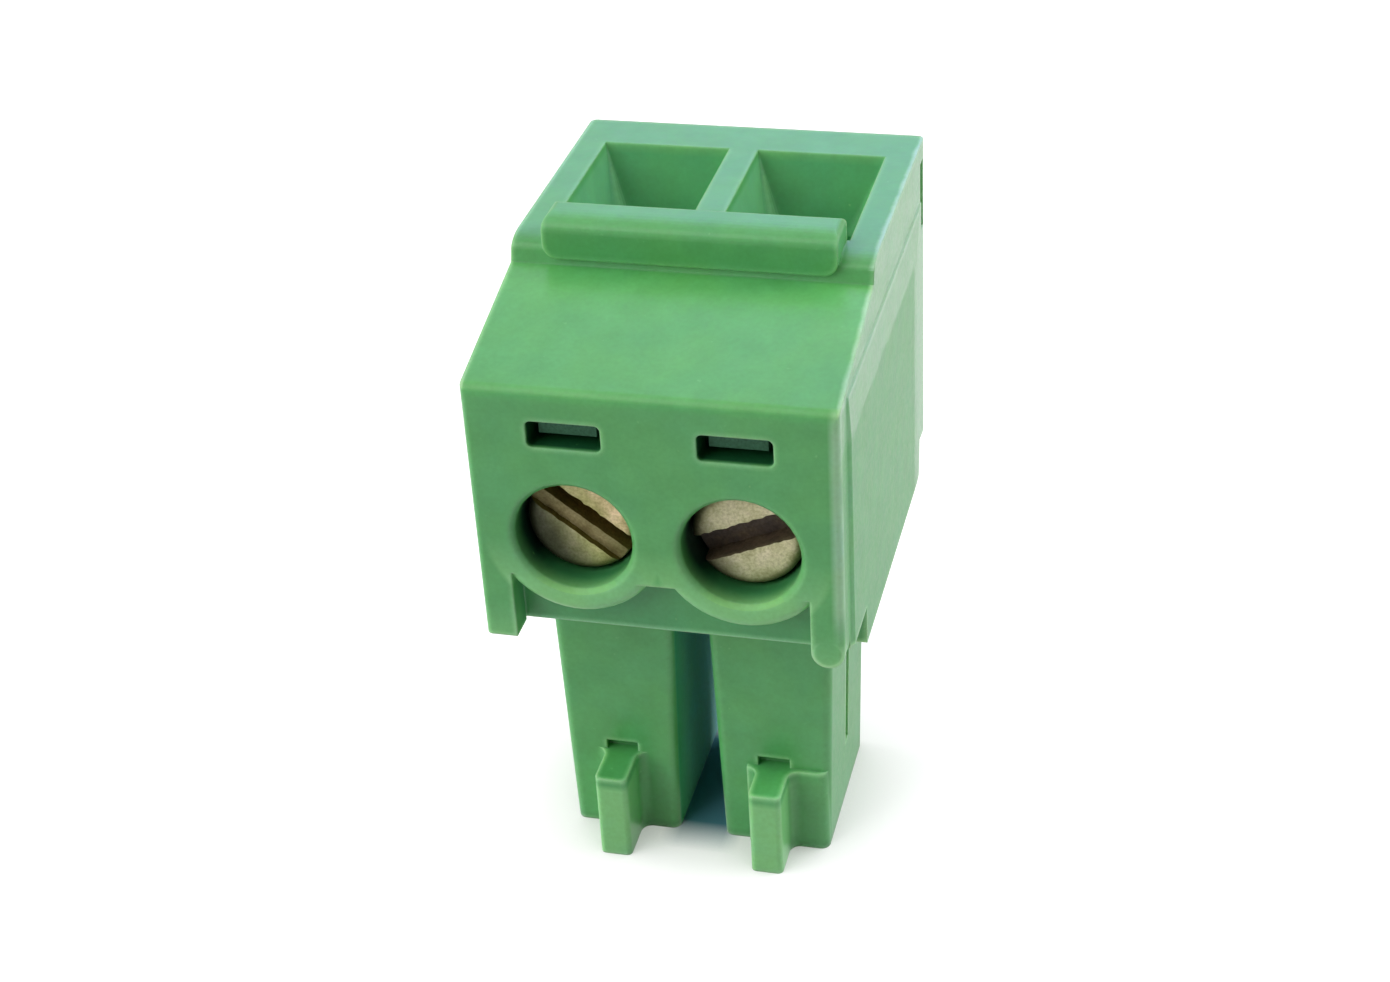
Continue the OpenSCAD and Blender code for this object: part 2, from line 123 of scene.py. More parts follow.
LEG_SHADE_FRONT = LEG_FRONT - 0.1
GAP_BACK = 2.0
SOFT_EDGE = (0.10, 0.25)

# Strengths of those zones, from 0 to 1
FEET_SHARE = 0.5
EDGE_HIGHLIGHT_ABOVE = 0.55
WELL_SHARE = 0.35
SIDE_UPPER_SHARE = (0.40, 0.60)
SIDE_BACK_SHARE = 0.50
BEAD_SHARE = 0.40
FRONT_SHARE = 0.15
RIM_SHARE = 0.5
CORNER_SHARE = 0.55
LEG_SHADE_SHARE = 0.45
SCUFF_SHARE = 0.6

# Streaks on the upper side, stretched along Y and tilted a little
STREAK_SCALE = (1.0, 0.3, 1.0)
STREAK_TURN = (0.1, 0.0, 0.0)

# Tints that multiply a colour; with a number before them, stops of a ramp. The funnel tints are painted
# shade on back walls and painted light on left walls, the recess tint is painted shade, and the slope tints
# are painted light; the speck, hue and pit tints are the surface's own.
FUNNEL_BACK_TINT = (0.60, 0.88, 0.90, 1.0)
FUNNEL_LEFT_TINT = (1.75, 1.25, 1.9, 1.0)
RECESS_TINT = (0.72, 0.86, 0.94, 1.0)
SLOPE_TINTS = [
    (0.0, (1.12, 1.07, 0.96, 1.0)),
    (0.5, (1.16, 1.10, 0.97, 1.0)),
    (0.85, (1.38, 1.28, 1.12, 1.0)),
]
SPECK_TINTS = [(0.3, (0.95, 0.96, 0.93, 1.0)), (0.7, (1.05, 1.04, 1.07, 1.0))]
HUE_TINTS = [(0.35, (1.03, 1.01, 0.95, 1.0)), (0.65, (0.97, 0.99, 1.05, 1.0))]
PIT_TINTS = [(0.32, (0.72, 0.70, 0.64, 1.0)), (0.62, WHITE)]

# Floor, in millimetres in the part's frame, with its colours; FLOOR_DARK and the FLOOR_SHADE and
# FLOOR_SHEEN ramps paint shade near the object
FLOOR_HALF = 1500.0
FLOOR_NEAR = 4.0
FLOOR_GAP_X = 1.05
FLOOR_GAP_Y = (LEG_FRONT - 0.25, LEG_BACK)
FLOOR_BEHIND_X = (-1.0, 1.30)
FLOOR_BEHIND_Y = (0.0, 3.0)
FLOOR_BEHIND_SHARE = 0.8
FLOOR_COLOUR = (0.65, 0.65, 0.64, 1.0)
FLOOR_DARK = (0.10, 0.26, 0.35, 1.0)
FLOOR_LIFT = (0.50, 0.50, 0.50, 1.0)
FLOOR_SHADE = [(0.25, (0.40, 0.41, 0.40, 1.0)), (0.60, (0.50, 0.50, 0.50, 1.0))]
FLOOR_SHEEN = [
    (0.25, (0.32, 0.32, 0.31, 1.0)),
    (0.48, (0.46, 0.47, 0.45, 1.0)),
    (0.70, (0.64, 0.64, 0.63, 1.0)),
    (1.0, (0.85, 0.85, 0.85, 1.0)),
]

# Clamp screws, in millimetres; depths run back from the screw face
HEAD_FRONT = 0.95
HEAD_SEAT = 2.34
HEAD_R = 1.70
HEAD_ROUND = 0.30
HEAD_STEPS = 6
SEAT_CHAMFER = 0.06
NECK_FLARE = 0.08
THREAD_START = 2.75
THREAD_R = 1.50
THREAD_ROOT = 1.20
THREAD_PITCH = 0.50
THREAD_FADE = 0.45
THREAD_STEPS = 10
CREST_SLOPE = 1.5
CREST_ROOT = 0.2
TIP_CONE = 0.40
TIP_END = 7.55
TIP_THREAD = 0.6
SCREW_AROUND = 72
SHARP_ANGLE = 35.0

# Driver slots; their floors lie SLOT_D below the head's face, and torn edges vary by TORN
SLOT_W = {"left": 1.00, "right": 0.90}
SLOT_D = 0.75
SLOT_TURN = {"left": 37.0, "right": -23.0}
SLOT_SHIFT = {"left": 0.14, "right": 0.05}
SLOT_LEDGE = {"left": 0.50, "right": 0.0}
SLOT_SEED = {"left": 24, "right": 26}
SLOT_STEPS = 26
SLOT_PAST = 0.2
SLOT_OVER = 0.3
LIP_FLARE = 0.05
LIP_DEPTH = 0.12
LEDGE_DEPTH = (0.10, 0.20)
TORN = {"low": 0.02, "high": 0.03, "ledge": 0.01}

# Material of each long face of a slot's cutter, in the order of its corners
SLOT_LIP = 0
SLOT_WALL = 1
SLOT_FLOOR = 2
SLOT_FACES = {
    "left": (SLOT_FLOOR,) * 5 + (SLOT_WALL, SLOT_LIP),
    "right": (SLOT_FLOOR,) * 4 + (SLOT_WALL, SLOT_LIP),
}

# Tints of a screw's head: across it along HEAD_LEAN, a painted shadow at its lower left and a painted
# highlight at its upper right; and out from its axis, darker towards its rim
HEAD_LEAN = (0.88, 0.0, 0.47)
HEAD_SHADE = {
    "left": [
        (0.0, (0.08, 0.10, 0.11, 1.0)),
        (0.20, (0.20, 0.22, 0.23, 1.0)),
        (0.34, (0.55, 0.58, 0.56, 1.0)),
        (0.48, (1.15, 1.18, 1.05, 1.0)),
        (0.70, (1.20, 1.16, 1.02, 1.0)),
        (0.82, (1.80, 1.52, 1.80, 1.0)),
        (1.0, (2.30, 1.85, 2.30, 1.0)),
    ],
    "right": [
        (0.0, (0.12, 0.12, 0.12, 1.0)),
        (0.16, (0.42, 0.42, 0.40, 1.0)),
        (0.32, (0.98, 0.99, 0.96, 1.0)),
        (0.70, (1.06, 1.04, 1.02, 1.0)),
        (1.0, (1.12, 1.06, 1.08, 1.0)),
    ],
}
HEAD_RIM_DARK = [
    (0.0, WHITE),
    (0.78, (1.0, 0.99, 0.97, 1.0)),
    (0.92, (0.50, 0.46, 0.38, 1.0)),
    (1.0, (0.16, 0.15, 0.10, 1.0)),
]

# Finishes of the metals
SCREW_FINISH = {"rough": (0.45, 0.6), "metallic": 0.35}
SLOT_FINISH = {"rough": (0.5, 0.7), "metallic": 0.2}
LEDGE_FINISH = {"rough": (0.5, 0.7), "metallic": 0.3}
ZINC_FINISH = {"rough": (0.25, 0.42), "metallic": 1.0}
TIN_FINISH = {"rough": (0.60, 0.75), "metallic": 0.2}


def srgb(red, green, blue):
    """Linear colour of 8-bit display values."""
    def linear(value):
        value /= 255.0
        return value / 12.92 if value <= 0.04045 else ((value + 0.055) / 1.055) ** 2.4
    return (linear(red), linear(green), linear(blue), 1.0)


def tones(*values):
    """Stops of a ramp at even steps, from 8-bit display values."""
    last = len(values) - 1
    return [(step / last, srgb(*value)) for step, value in enumerate(values)]


# Shader helpers

def feed(tree, node, inputs):
    """Sets a node's inputs to plain values, or links them to sockets."""
    for key, value in inputs.items():
        if isinstance(value, bpy.types.NodeSocket):
            tree.links.new(value, node.inputs[key])
        else:
            node.inputs[key].default_value = value


def add(tree, kind, inputs=None, **props):
    """A new node with its properties and inputs."""
    node = tree.nodes.new(kind)
    for key, value in props.items():
        setattr(node, key, value)
    feed(tree, node, inputs or {})
    return node


def material(name):
    """A new material with its tree, its shader and the part's coordinates."""
    made = bpy.data.materials.new(name)
    made.use_nodes = True
    tree = made.node_tree
    shader = tree.nodes["Principled BSDF"]
    place = add(tree, "ShaderNodeTexCoord").outputs["Object"]
    return made, tree, shader, place


def calc(tree, operation, *values):
    """Result of a math node."""
    return add(tree, "ShaderNodeMath", dict(enumerate(values)), operation=operation).outputs[0]


def both(tree, *shares):
    """The product of several shares."""
    value = shares[0]
    for share in shares[1:]:
        value = calc(tree, "MULTIPLY", value, share)
    return value


def most(tree, *shares):
    """The greatest of several shares."""
    value = shares[0]
    for share in shares[1:]:
        value = calc(tree, "MAXIMUM", value, share)
    return value


def split(tree, vector):
    """The three coordinates of a vector."""
    return add(tree, "ShaderNodeSeparateXYZ", {0: vector}).outputs


def noise(tree, place, size_mm, detail=2.0, roughness=0.5):
    """Noise with blotches of about that size."""
    return add(tree, "ShaderNodeTexNoise", {
        "Vector": place, "Scale": 1.0 / (size_mm * MM), "Detail": detail, "Roughness": roughness,
    }).outputs["Fac"]


def ramp(tree, value, stops):
    """Colours along a value from 0 to 1."""
    node = add(tree, "ShaderNodeValToRGB", {"Fac": value})
    elements = node.color_ramp.elements
    while len(elements) < len(stops):
        elements.new(0.5)
    for element, (at, colour) in zip(elements, stops):
        element.position = at
        element.color = colour
    return node.outputs["Color"]


def spread(tree, value, low, high, start=0.3, end=0.7):
    """Maps a value from start..end to low..high, clamped; the defaults suit the middle of a noise."""
    return add(tree, "ShaderNodeMapRange", {
        "Value": value, "From Min": start, "From Max": end, "To Min": low, "To Max": high,
    }).outputs["Result"]


def mix(tree, share, first, second, blend="MIX"):
    """Two colours mixed."""
    inputs = {MIX_SHARE: share, MIX_FIRST: first, MIX_SECOND: second}
    return add(tree, "ShaderNodeMix", inputs, data_type="RGBA", blend_type=blend).outputs[MIX_RESULT]


def tinted(tree, tone, tint):
    """A colour multiplied by a tint."""
    return mix(tree, 1.0, tone, tint, "MULTIPLY")


def bump(tree, height, depth_mm, strength, below):
    """Surface relief of about that depth, laid over another relief."""
    return add(tree, "ShaderNodeBump", {
        "Height": height, "Distance": depth_mm * MM, "Strength": strength, "Normal": below,
    }).outputs["Normal"]


def band(tree, value, start_mm, end_mm, soft_mm=0.1):
    """1 where a coordinate lies between two lengths, with soft ends."""
    low, high, soft = start_mm * MM, end_mm * MM, soft_mm * MM
    rise = spread(tree, value, 0.0, 1.0, low - soft, low + soft)
    fall = spread(tree, value, 1.0, 0.0, high - soft, high + soft)
    return both(tree, rise, fall)


def behind_face(tree, y, start_mm, end_mm, soft_mm=0.1):
    """1 between two depths behind the screw face, with soft ends."""
    return band(tree, y, FACE_Y + start_mm, FACE_Y + end_mm, soft_mm)


def from_axis(tree, place, x_mm, z_mm):
    """Distance from an axis that runs along Y."""
    shift = (-x_mm * MM, 0.0, -z_mm * MM)
    flat = add(tree, "ShaderNodeMapping", {"Vector": place, "Location": shift, "Scale": (1.0, 0.0, 1.0)})
    return add(tree, "ShaderNodeVectorMath", {0: flat.outputs[0]}, operation="LENGTH").outputs["Value"]


def round_screws(tree, place, start_mm, end_mm, soft_mm):
    """1 in a ring round each screw's axis."""
    distances = [from_axis(tree, place, at, SCREW_Z) for at in POLES.values()]
    return most(tree, *[band(tree, far, start_mm, end_mm, soft_mm) for far in distances])


# Zones of the housing

def thin_parts(tree, place):
    """Share of painted light on the thin ribs, feet and lower boss rims, standing for light bounced up from
    the floor and shining through the nylon.
    """
    x, y, z = split(tree, place)
    wide = calc(tree, "ABSOLUTE", x)
    ribs = both(tree, band(tree, z, -FAR, RIB_TOP), band(tree, y, FACE_Y, RIB_ROOT, soft_mm=0.2))
    feet = both(tree, band(tree, wide, FEET_X, FAR), band(tree, z, *FEET_Z, soft_mm=0.5),
                behind_face(tree, y, -FAR, FEET_DEPTH))
    rims = both(tree, round_screws(tree, place, *RIM_RING, soft_mm=0.08),
                band(tree, z, *RIM_Z, soft_mm=0.8), behind_face(tree, y, -FAR, RIM_DEPTH, soft_mm=0.3))
    return most(tree, ribs, both(tree, feet, FEET_SHARE), rims)


def edge_highlights(tree, place):
    """Share of painted highlight on convex edges, most below the screw bosses and round the right foot."""
    edge = add(tree, "ShaderNodeAmbientOcclusion", {"Distance": EDGE_REACH * MM},
               inside=True, only_local=True, samples=6).outputs["AO"]
    _, y, z = split(tree, place)
    convex = spread(tree, edge, 1.0, 0.0, start=0.52, end=0.92)
    fading = spread(tree, z, 1.0, EDGE_HIGHLIGHT_ABOVE, start=EDGE_HIGHLIGHT_Z[0] * MM, end=EDGE_HIGHLIGHT_Z[1] * MM)
    far = from_axis(tree, place, *FOOT_AXIS)
    foot = both(tree, band(tree, far, FOOT_R - FOOT_EDGE, FOOT_R + FOOT_EDGE, soft_mm=0.03),
                band(tree, z, *FOOT_EDGE_Z, soft_mm=0.2), behind_face(tree, y, -FAR, FOOT_EDGE_DEPTH))
    return most(tree, both(tree, convex, fading), foot)


def between_legs(tree, place):
    """1 on the faces that the two legs turn to each other."""
    x, _, z = split(tree, place)
    wide = calc(tree, "ABSOLUTE", x)
    drafted = calc(tree, "MULTIPLY_ADD", z, LEG_LEAN, wide)
    return both(tree, band(tree, drafted, -FAR, LEG_GAP, soft_mm=0.015),
                band(tree, z, -FAR, LEG_TOP, soft_mm=0.2))


def in_wells(tree, place):
    """Share of painted shade in the two screw wells: more with depth and most on their left walls."""
    x, y, _ = split(tree, place)
    walls = []
    for at in POLES.values():
        inside = band(tree, from_axis(tree, place, at, SCREW_Z), -FAR, WELL_R, soft_mm=0.05)
        left = band(tree, x, -FAR, at - WELL_LEFT, soft_mm=0.45)
        walls.append(both(tree, inside, most(tree, left, WELL_SHARE)))
    return both(tree, most(tree, *walls), behind_face(tree, y, *WELL_DEPTH, soft_mm=0.40))


def in_recess(tree, place):
    """1 in the shallow recess under the bosses."""
    x, y, z = split(tree, place)
    wide = calc(tree, "ABSOLUTE", x)
    return both(tree, band(tree, wide, -FAR, FOOT_INNER, soft_mm=0.03), band(tree, z, *RECESS_Z),
                behind_face(tree, y, *RECESS_DEPTH, soft_mm=0.2))


def funnel_tint(tree, place):
    """Painted light and shade in the wire funnels: painted shade makes their back walls darker and bluer,
    painted light makes their left walls paler.
    """
    x, y, z = split(tree, place)
    wide = calc(tree, "ABSOLUTE", x)
    inside = both(tree, band(tree, wide, *FUNNEL_X, soft_mm=0.05), band(tree, z, *FUNNEL_Z),
                  band(tree, y, *FUNNEL_Y, soft_mm=0.05))
    facing = add(tree, "ShaderNodeNewGeometry").outputs["Normal"]
    to_x, to_y, _ = split(tree, facing)
    back = both(tree, inside, spread(tree, to_y, 1.0, 0.0, start=-0.5, end=-0.1))
    left = both(tree, inside, spread(tree, to_x, 0.0, 1.0, start=0.1, end=0.5))
    return mix(tree, left, mix(tree, back, WHITE, FUNNEL_BACK_TINT), FUNNEL_LEFT_TINT)


def in_test_slots(tree, place):
    """1 inside the two test slots."""
    x, y, z = split(tree, place)
    wide = calc(tree, "ABSOLUTE", x)
    middle = POLES["right"]
    return both(tree, band(tree, wide, middle - TEST_HALF, middle + TEST_HALF, soft_mm=0.03),
                band(tree, z, *TEST_SLOT, soft_mm=0.03), behind_face(tree, y, *TEST_DEPTH, soft_mm=0.08))


def ragged(tree, place):
    """The part's coordinates shifted by a noise, so that zones drawn by them have uneven borders."""
    cloud = add(tree, "ShaderNodeTexNoise", {
        "Vector": place, "Scale": 1.0 / (RAGGED_SIZE * MM), "Detail": 4.0}).outputs["Color"]
    centred = add(tree, "ShaderNodeVectorMath", {0: cloud, 1: (0.5, 0.5, 0.5)}, operation="SUBTRACT")
    return add(tree, "ShaderNodeVectorMath", {0: centred.outputs[0], 1: (RAGGED_SHIFT * MM,) * 3, 2: place},
               operation="MULTIPLY_ADD").outputs[0]


def on_sides(tree, place):
    """1 on the two outer side faces."""
    wide = calc(tree, "ABSOLUTE", split(tree, place)[0])
    return band(tree, wide, SIDE_X, FAR, soft_mm=0.02)


def smooth_sides(tree, place, uneven_place):
    """Share of gloss on the upper and rear zones of the sides, which are worn smooth."""
    _, y, z = split(tree, uneven_place)
    stretched = add(tree, "ShaderNodeMapping", {
        "Vector": place, "Scale": STREAK_SCALE, "Rotation": STREAK_TURN}).outputs[0]
    streaks = noise(tree, stretched, size_mm=0.45, detail=3.0)
    upper = both(tree, band(tree, z, SIDE_BAND, FAR, soft_mm=0.12),
                 spread(tree, streaks, *SIDE_UPPER_SHARE, start=0.35, end=0.65))
    back = both(tree, band(tree, y, SIDE_BACK, FAR), SIDE_BACK_SHARE)
    return both(tree, most(tree, upper, back), on_sides(tree, place))


def side_highlights(tree, place, uneven_place):
    """Share of the painted highlight lines on the sides: bead, front line, upper rim and front corner."""
    true_x = split(tree, place)[0]
    x, y, z = split(tree, uneven_place)
    bead = both(tree, band(tree, z, SIDE_BEAD - BEAD_HALF, SIDE_BEAD + BEAD_HALF), BEAD_SHARE)
    front = both(tree, band(tree, y, *SIDE_FRONT, soft_mm=0.06), FRONT_SHARE)
    facing = add(tree, "ShaderNodeNewGeometry").outputs["True Normal"]
    upward = spread(tree, split(tree, facing)[2], 0.0, 1.0, start=0.4, end=0.6)
    rim = both(tree, band(tree, x, SIDE_X, FAR, soft_mm=0.08), upward, RIM_SHARE)
    corner = both(tree, band(tree, true_x, CORNER_X, FAR),
                  behind_face(tree, y, -FAR, CORNER_DEPTH, soft_mm=0.12),
                  band(tree, z, *CORNER_Z, soft_mm=0.6), CORNER_SHARE)
    return most(tree, both(tree, most(tree, bead, front), on_sides(tree, place)), rim, corner)


def slope_light(tree, place):
    """Painted light on the front slope: a tint that lightens it, most below the ridge."""
    _, y, z = split(tree, place)
    facing = add(tree, "ShaderNodeNewGeometry").outputs["True Normal"]
    _, to_y, to_z = split(tree, facing)
    slope = both(tree, spread(tree, to_z, 0.0, 1.0, start=0.5, end=0.6),
                 spread(tree, to_y, 1.0, 0.0, start=-0.3, end=-0.1),
                 band(tree, z, -FAR, SLOPE_TOP, soft_mm=0.03))
    along = spread(tree, y, 0.0, 1.0, start=FACE_Y * MM, end=SLOPE_BACK * MM)
    return mix(tree, slope, WHITE, ramp(tree, along, SLOPE_TINTS))


def leg_ends(tree, place):
    """Share of painted contact shade along the lower ends of the legs."""
    _, y, z = split(tree, place)
    return both(tree, band(tree, z, -FAR, LEG_SHADE_TOP, soft_mm=0.25),
                band(tree, y, LEG_SHADE_FRONT, FAR, soft_mm=0.05), LEG_SHADE_SHARE)


# Materials

def moulded_nylon(name, plain, pale, edge_highlight, deep, painted_shade, gap, line):
    """Green moulded nylon: fine grain, faint mottling, uneven gloss and lighter scuffs, with painted light
    on thin parts, edges, the sides' lines, the slope and the funnels' left walls, and painted shade in the
    recess, funnels, wells and test slots, along the leg ends and between the legs.
    """
    made, tree, shader, place = material(name)
    uneven_place = ragged(tree, place)
    broad = noise(tree, place, size_mm=0.9, detail=3.0)
    specks = noise(tree, place, size_mm=0.16)
    grain = noise(tree, place, size_mm=0.07, detail=3.0, roughness=0.6)
    tone = ramp(tree, spread(tree, broad, 0.0, 1.0), plain)
    # Painted light: the thin ribs, feet and lower boss rims are made lighter.
    tone = mix(tree, thin_parts(tree, place), tone, pale)
    # Painted highlight on convex edges, most below the screw bosses and round the right foot.
    tone = mix(tree, edge_highlights(tree, place), tone, edge_highlight)
    # Painted highlight lines on the sides and along the front right corner.
    tone = mix(tree, side_highlights(tree, place, uneven_place), tone, line)
    # Painted shade in the recess under the bosses, and painted light and shade in the funnels.
    tone = tinted(tree, tone, mix(tree, in_recess(tree, place), funnel_tint(tree, place), RECESS_TINT))
    # Painted light on the front slope, most below the ridge.
    tone = tinted(tree, tone, slope_light(tree, place))
    # Painted contact shade along the lower ends of the legs.
    tone = mix(tree, leg_ends(tree, place), tone, painted_shade)
    # Painted shade inside the test slots.
    tone = mix(tree, in_test_slots(tree, place), tone, deep)
    # Painted shade in the screw wells, most on their left walls.
    tone = mix(tree, in_wells(tree, place), tone, painted_shade)
    # Painted bluish tint for the shade on the faces between the legs, where gloss is also turned off.
    hidden = between_legs(tree, place)
    inward = spread(tree, split(tree, place)[1], 0.0, 1.0, start=LEG_FRONT * MM, end=GAP_BACK * MM)
    tone = mix(tree, hidden, tone, ramp(tree, inward, gap))
    tone = tinted(tree, tone, ramp(tree, noise(tree, place, size_mm=1.7), HUE_TINTS))
    scuffs = noise(tree, place, size_mm=0.30, detail=3.0, roughness=0.6)
    tone = mix(tree, spread(tree, scuffs, 0.0, SCUFF_SHARE, start=0.70, end=0.80), tone, pale)
    lips = round_screws(tree, place, *LIP_RING, soft_mm=0.1)
    softness = spread(tree, lips, SOFT_EDGE[0] * MM, SOFT_EDGE[1] * MM, start=0.0, end=1.0)
    rounded = add(tree, "ShaderNodeBevel", {"Radius": softness}, samples=6).outputs["Normal"]
    waves = bump(tree, broad, depth_mm=0.004, strength=0.4, below=rounded)
    feed(tree, shader, {
        "Base Color": tinted(tree, tone, ramp(tree, specks, SPECK_TINTS)),
        "Normal": bump(tree, grain, depth_mm=0.004, strength=0.5, below=waves),
        "Roughness": spread(tree, specks, 0.30, 0.40),
        "Specular IOR Level": spread(tree, hidden, 0.5, 0.0, start=0.0, end=1.0),
        "IOR": 1.53,
        "Coat Weight": smooth_sides(tree, place, uneven_place),
        "Coat Roughness": 0.25,
        "Subsurface Weight": 0.40,
        "Subsurface Radius": (1.0, 1.0, 0.6),
        "Subsurface Scale": 0.45 * MM,
    })
    return made


def head_rim_dark(tree, place, side):
    """Darker towards the rim of a screw's head, out from its axis up to the head's radius."""
    far = from_axis(tree, place, POLES[side], SCREW_Z)
    return ramp(tree, spread(tree, far, 0.0, 1.0, start=0.0, end=HEAD_R * MM), HEAD_RIM_DARK)


def head_shade(tree, place, side):
    """Painted shadow and highlight across a screw's head: shadow at its lower left, highlight at its upper
    right.
    """
    across = add(tree, "ShaderNodeVectorMath", {0: place, 1: HEAD_LEAN}, operation="DOT_PRODUCT")
    middle = HEAD_LEAN[0] * POLES[side] + HEAD_LEAN[2] * SCREW_Z
    along = spread(tree, across.outputs["Value"], 0.0, 1.0,
                   start=(middle - HEAD_R) * MM, end=(middle + HEAD_R) * MM)
    return ramp(tree, along, HEAD_SHADE[side])


def plated_metal(name, plain, rough, metallic, side=None, painted_reflection=None):
    """Dull plated metal, pitted and blotchy, with a screw head's darker rim and painted light and shade, or
    with a painted reflection and shade above a height.
    """
    made, tree, shader, place = material(name)
    blotches = noise(tree, place, size_mm=0.55, detail=4.0, roughness=0.6)
    pits = noise(tree, place, size_mm=0.09, detail=3.0, roughness=0.65)
    tone = ramp(tree, spread(tree, blotches, 0.0, 1.0), plain)
    # Painted reflection and shade: a colour laid over the metal above a height.
    if painted_reflection:
        height, colour = painted_reflection
        tone = mix(tree, band(tree, split(tree, place)[2], height, FAR, soft_mm=0.3), tone, colour)
    tone = tinted(tree, tone, ramp(tree, pits, PIT_TINTS))
    # On a screw's head: darker towards its rim, then a painted shadow at its lower left and a painted
    # highlight at its upper right.
    if side:
        tone = tinted(tree, tone, head_rim_dark(tree, place, side))
        tone = tinted(tree, tone, head_shade(tree, place, side))
    smoothest, roughest = rough
    rounded = add(tree, "ShaderNodeBevel", {"Radius": 0.03 * MM}, samples=4).outputs["Normal"]
    feed(tree, shader, {
        "Base Color": tone,
        "Normal": bump(tree, pits, depth_mm=0.012, strength=0.7, below=rounded),
        "Roughness": spread(tree, pits, roughest, smoothest),
        "Metallic": metallic,
    })
    return made


def dress(obj, coat):
    """Gives an object its material."""
    obj.data.materials.clear()
    obj.data.materials.append(coat)


# Camera, light and floor

def make_camera():
    """The photo's camera."""
    right, up = Vector(CAMERA_RIGHT), Vector(CAMERA_UP)
    back = right.cross(up)
    near, far = CAMERA_CLIP
    data = bpy.data.cameras.new("camera")
    data.lens = CAMERA_LENS
    data.sensor_width = CAMERA_SENSOR
    data.clip_start = near * MM
    data.clip_end = far * MM
    camera = bpy.data.objects.new("camera", data)
    turn = Matrix((right, up, back)).transposed().to_4x4()
    camera.matrix_world = Matrix.Translation(Vector(CAMERA_PLACE) * MM) @ turn
    bpy.context.scene.collection.objects.link(camera)
    bpy.context.scene.camera = camera


def make_lamp(name, place_mm, level, colour=WHITE_LIGHT, diffuse=True, glossy=False):
    """A square softbox; level 1 lights a face turned to it as a white sky of strength 1 would."""
    data = bpy.data.lights.new(name, "AREA")
    data.shape = "SQUARE"
    data.size = LAMP_SIZE * MM
    place = Vector(place_mm) * MM
    aim = Vector(LAMP_AIM) * MM - place
    data.energy = level * math.pi ** 2 * aim.length ** 2
    data.color = colour
    lamp = bpy.data.objects.new(name, data)
    lamp.location = place
    lamp.rotation_euler = aim.to_track_quat("-Z", "Y").to_euler()
    lamp.visible_camera = False
    lamp.visible_diffuse = diffuse
    lamp.visible_glossy = glossy
    bpy.context.scene.collection.objects.link(lamp)


def is_ray(tree, *kinds):
    """1 for rays of the named kinds, else 0."""
    path = add(tree, "ShaderNodeLightPath")
    return most(tree, *[path.outputs["Is " + kind + " Ray"] for kind in kinds])


def make_world():
    """A surround that is white in the picture and in gloss, and lights the surfaces only a little."""
    world = bpy.data.worlds.new("studio")
    bpy.context.scene.world = world
    world.use_nodes = True
    tree = world.node_tree
    tree.nodes.clear()
    seen = is_ray(tree, "Camera", "Glossy", "Transmission")
    room = add(tree, "ShaderNodeBackground", {"Color": ROOM_COLOUR, "Strength": ROOM_LEVEL})
    white = add(tree, "ShaderNodeBackground", {"Color": WHITE, "Strength": 1.0})
    shown = add(tree, "ShaderNodeMixShader", {0: seen, 1: room.outputs[0], 2: white.outputs[0]})
    add(tree, "ShaderNodeOutputWorld", {"Surface": shown.outputs[0]})


def floor_paper(name):
    """White paper with painted shade: darker near the object by its occlusion, and dark blue between and
    behind the legs.
    """
    made = bpy.data.materials.new(name)
    made.use_nodes = True
    tree = made.node_tree
    tree.nodes.clear()
    near = add(tree, "ShaderNodeAmbientOcclusion", {"Distance": FLOOR_NEAR * MM}, samples=8).outputs["AO"]
    x, y, _ = split(tree, add(tree, "ShaderNodeTexCoord").outputs["Object"])
    wide = calc(tree, "ABSOLUTE", x)
    between = both(tree, band(tree, wide, -FAR, FLOOR_GAP_X, soft_mm=0.30),
                   band(tree, y, *FLOOR_GAP_Y, soft_mm=0.75))
    behind = both(tree, band(tree, wide, *FLOOR_BEHIND_X, soft_mm=1.20),
                  band(tree, y, *FLOOR_BEHIND_Y, soft_mm=2.0), FLOOR_BEHIND_SHARE)
    under = most(tree, between, behind)
    # Painted shade on the floor, by occlusion and between and behind the legs.
    shade = mix(tree, under, ramp(tree, near, FLOOR_SHADE), FLOOR_DARK)
    sheen = mix(tree, under, ramp(tree, near, FLOOR_SHEEN), BLACK)
    lift = mix(tree, is_ray(tree, "Glossy"), BLACK, FLOOR_LIFT)
    camera = is_ray(tree, "Camera")
    paper = add(tree, "ShaderNodeBsdfDiffuse", {"Color": mix(tree, camera, FLOOR_COLOUR, shade)})
    glow = add(tree, "ShaderNodeEmission", {"Color": mix(tree, camera, lift, sheen), "Strength": 1.0})
    sheet = add(tree, "ShaderNodeAddShader", {0: paper.outputs[0], 1: glow.outputs[0]})
    add(tree, "ShaderNodeOutputMaterial", {"Surface": sheet.outputs[0]})
    return made


def make_floor():
    """The plain pale floor, which is not part of the object."""
    half = FLOOR_HALF * MM
    corners = [(-half, -half, 0), (half, -half, 0), (half, half, 0), (-half, half, 0)]
    mesh = bpy.data.meshes.new("floor")
    mesh.from_pydata(corners, [], [(0, 1, 2, 3)])
    floor = bpy.data.objects.new("floor", mesh)
    bpy.context.scene.collection.objects.link(floor)
    mesh.materials.append(floor_paper("floor_white"))


# Clamp screws

